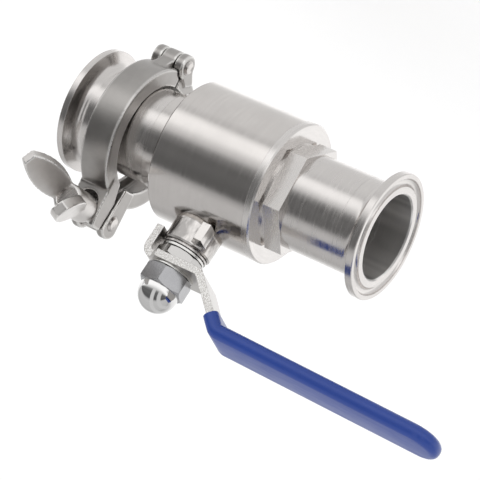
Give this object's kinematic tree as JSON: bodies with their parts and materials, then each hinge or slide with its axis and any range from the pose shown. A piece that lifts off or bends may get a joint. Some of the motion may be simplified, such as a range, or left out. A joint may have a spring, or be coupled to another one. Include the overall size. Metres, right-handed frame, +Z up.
{
  "type": "sanitary ball valve",
  "caption": "Lever-operated sanitary ball valve with clamp ferrules, a hex end cap and a hinged pipe clamp hanging on its neck.",
  "frame": {"origin": "centre of the ball, where the flow axis meets the stem axis", "axes": "+X along the flow bore toward the end cap, +Z up the stem, +Y to the side the stop tab is on when the valve is shut"},
  "size_m": [0.1966, 0.0698, 0.1025],
  "materials": {
    "body_steel": "turned and polished",
    "tube_steel": "polished, fine lines around the tube",
    "ball_steel": "mirror polished",
    "stem_steel": "turned",
    "spring_steel": "rolled strip, dull",
    "plate_steel": "rolled plate with sheared edges",
    "nut_steel": "polished",
    "cast_steel": "cast and tumbled, satin",
    "seal_white": "waxy, smooth",
    "o_ring_rubber": "matt",
    "grip_vinyl": "dip-moulded, soft sheen"
  },
  "bodies": {
    "valve": {"valve_body": "body_steel", "stem_boss": "body_steel", "inlet_neck": "tube_steel", "outlet_neck": "tube_steel", "inlet_ferrule": "tube_steel", "end_cap": "body_steel", "outlet_ferrule": "tube_steel", "inlet_seat": "seal_white", "outlet_seat": "seal_white", "body_seal": "seal_white", "thrust_washer": "seal_white", "lower_packing": "seal_white", "upper_packing": "seal_white", "gland_ring": "stem_steel"},
    "ball": {"ball": "ball_steel"},
    "lever_set": {"stem": "stem_steel", "stem_o_ring": "o_ring_rubber", "disc_springs": "spring_steel", "gland_nut": "stem_steel", "lever": "plate_steel", "grip": "grip_vinyl", "lock_washer": "spring_steel", "cap_nut": "nut_steel"},
    "front_half": {"clamp_front": "cast_steel"},
    "rear_half": {"clamp_rear": "cast_steel", "hinge_pin": "stem_steel", "bolt_pin": "stem_steel"},
    "bolt": {"swing_bolt": "stem_steel"},
    "nut": {"wing_nut": "cast_steel"}
  },
  "joints": [
    {"name": "lever_turn", "type": "hinge", "parent": "valve", "child": "lever_set", "pos_m": [0, 0, 0], "axis": [0, 0, 1], "range_deg": [-90, 0]},
    {"name": "ball_turn", "type": "hinge", "parent": "valve", "child": "ball", "pos_m": [0, 0, 0], "axis": [0, 0, 1], "range_deg": [-90, 0]},
    {"name": "clamp_swivel", "type": "hinge", "parent": "valve", "child": "front_half", "pos_m": [-0.047, 0, 0], "axis": [1, 0, 0], "continuous": true},
    {"name": "clamp_spread", "type": "hinge", "parent": "front_half", "child": "rear_half", "pos_m": [-0.047, 0.00661, -0.02867], "axis": [1, 0, 0], "range_deg": [0, 4.5]},
    {"name": "bolt_swing", "type": "hinge", "parent": "rear_half", "child": "bolt", "pos_m": [-0.047, -0.0111, 0.03658], "axis": [1, 0, 0], "range_deg": [0, 75]},
    {"name": "nut_travel", "type": "slide", "parent": "bolt", "child": "nut", "axis": [0, 0.9703, 0.2419], "range_m": [0, 0.0065]}
  ],
  "couplings": [
    {"joint": "ball_turn", "follows": "lever_turn", "ratio": 1},
    {"joint": "clamp_spread", "follows": "nut_travel", "rad_per_m": 12}
  ]
}
